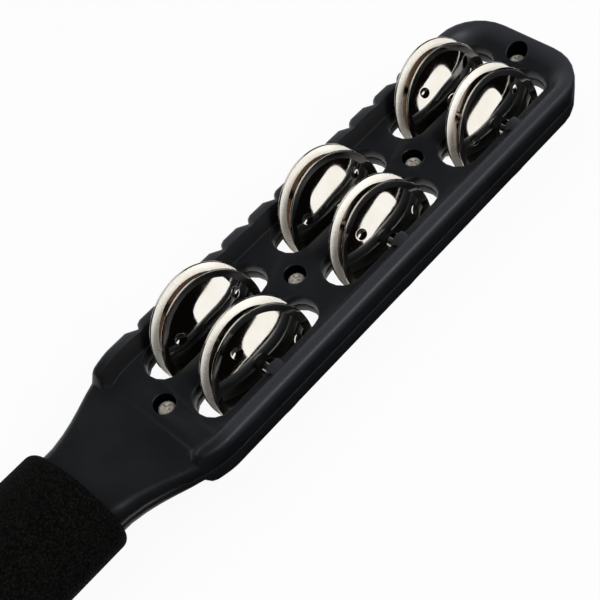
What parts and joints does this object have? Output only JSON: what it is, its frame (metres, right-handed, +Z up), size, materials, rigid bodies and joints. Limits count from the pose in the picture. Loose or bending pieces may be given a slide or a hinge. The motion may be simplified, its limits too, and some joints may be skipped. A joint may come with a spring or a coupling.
{
  "type": "jingle stick",
  "caption": "Hand-held jingle stick: slotted plastic head with paired metal jingles on cross pins, a raised rim with a scraper edge, a tapered neck and a round foam grip.",
  "frame": {"origin": "middle of the overall box, on the parting plane between the two half shells", "axes": "+X along the stick towards the tip, +Y towards the scraper edge, +Z up out of the face that shows the screw heads"},
  "size_m": [0.32, 0.0506, 0.036],
  "materials": {
    "shell_plastic": "satin moulded black with a slight blue cast",
    "jingle_steel": "bright nickel plate",
    "pin_steel": "drawn wire",
    "screw_steel": "dull plated",
    "grip_foam": "matte closed-cell foam"
  },
  "bodies": {
    "stick": {"upper_shell": "shell_plastic", "lower_shell": "shell_plastic", "tip_screw": "screw_steel", "front_screw": "screw_steel", "rear_screw": "screw_steel", "neck_screw": "screw_steel", "tip_pin": "pin_steel", "middle_pin": "pin_steel", "neck_pin": "pin_steel", "foam_grip": "grip_foam"},
    "tip_left_slot_left": {"tip_left_slot_left_jingle": "jingle_steel"},
    "tip_left_slot_right": {"tip_left_slot_right_jingle": "jingle_steel"},
    "tip_right_slot_left": {"tip_right_slot_left_jingle": "jingle_steel"},
    "tip_right_slot_right": {"tip_right_slot_right_jingle": "jingle_steel"},
    "middle_left_slot_left": {"middle_left_slot_left_jingle": "jingle_steel"},
    "middle_left_slot_right": {"middle_left_slot_right_jingle": "jingle_steel"},
    "middle_right_slot_left": {"middle_right_slot_left_jingle": "jingle_steel"},
    "middle_right_slot_right": {"middle_right_slot_right_jingle": "jingle_steel"},
    "neck_left_slot_left": {"neck_left_slot_left_jingle": "jingle_steel"},
    "neck_left_slot_right": {"neck_left_slot_right_jingle": "jingle_steel"},
    "neck_right_slot_left": {"neck_right_slot_left_jingle": "jingle_steel"},
    "neck_right_slot_right": {"neck_right_slot_right_jingle": "jingle_steel"}
  },
  "joints": [
    {"name": "tip_left_slot_left_spin", "type": "hinge", "parent": "stick", "child": "tip_left_slot_left", "pos_m": [0.127, 0.0123, 0], "axis": [0, 0.9397, -0.342], "continuous": true},
    {"name": "tip_left_slot_right_spin", "type": "hinge", "parent": "stick", "child": "tip_left_slot_right", "pos_m": [0.127, 0.0083, 0], "axis": [0, 0.9397, -0.342], "continuous": true},
    {"name": "tip_right_slot_left_spin", "type": "hinge", "parent": "stick", "child": "tip_right_slot_left", "pos_m": [0.127, -0.0083, 0], "axis": [0, 0.9397, -0.342], "continuous": true},
    {"name": "tip_right_slot_right_spin", "type": "hinge", "parent": "stick", "child": "tip_right_slot_right", "pos_m": [0.127, -0.0123, 0], "axis": [0, 0.9397, -0.342], "continuous": true},
    {"name": "middle_left_slot_left_spin", "type": "hinge", "parent": "stick", "child": "middle_left_slot_left", "pos_m": [0.072, 0.0123, 0], "axis": [0, 0.9397, -0.342], "continuous": true},
    {"name": "middle_left_slot_right_spin", "type": "hinge", "parent": "stick", "child": "middle_left_slot_right", "pos_m": [0.072, 0.0083, 0], "axis": [0, 0.9397, -0.342], "continuous": true},
    {"name": "middle_right_slot_left_spin", "type": "hinge", "parent": "stick", "child": "middle_right_slot_left", "pos_m": [0.072, -0.0083, 0], "axis": [0, 0.9397, -0.342], "continuous": true},
    {"name": "middle_right_slot_right_spin", "type": "hinge", "parent": "stick", "child": "middle_right_slot_right", "pos_m": [0.072, -0.0123, 0], "axis": [0, 0.9397, -0.342], "continuous": true},
    {"name": "neck_left_slot_left_spin", "type": "hinge", "parent": "stick", "child": "neck_left_slot_left", "pos_m": [0.017, 0.0123, 0], "axis": [0, 0.9397, -0.342], "continuous": true},
    {"name": "neck_left_slot_right_spin", "type": "hinge", "parent": "stick", "child": "neck_left_slot_right", "pos_m": [0.017, 0.0083, 0], "axis": [0, 0.9397, -0.342], "continuous": true},
    {"name": "neck_right_slot_left_spin", "type": "hinge", "parent": "stick", "child": "neck_right_slot_left", "pos_m": [0.017, -0.0083, 0], "axis": [0, 0.9397, -0.342], "continuous": true},
    {"name": "neck_right_slot_right_spin", "type": "hinge", "parent": "stick", "child": "neck_right_slot_right", "pos_m": [0.017, -0.0123, 0], "axis": [0, 0.9397, -0.342], "continuous": true}
  ]
}
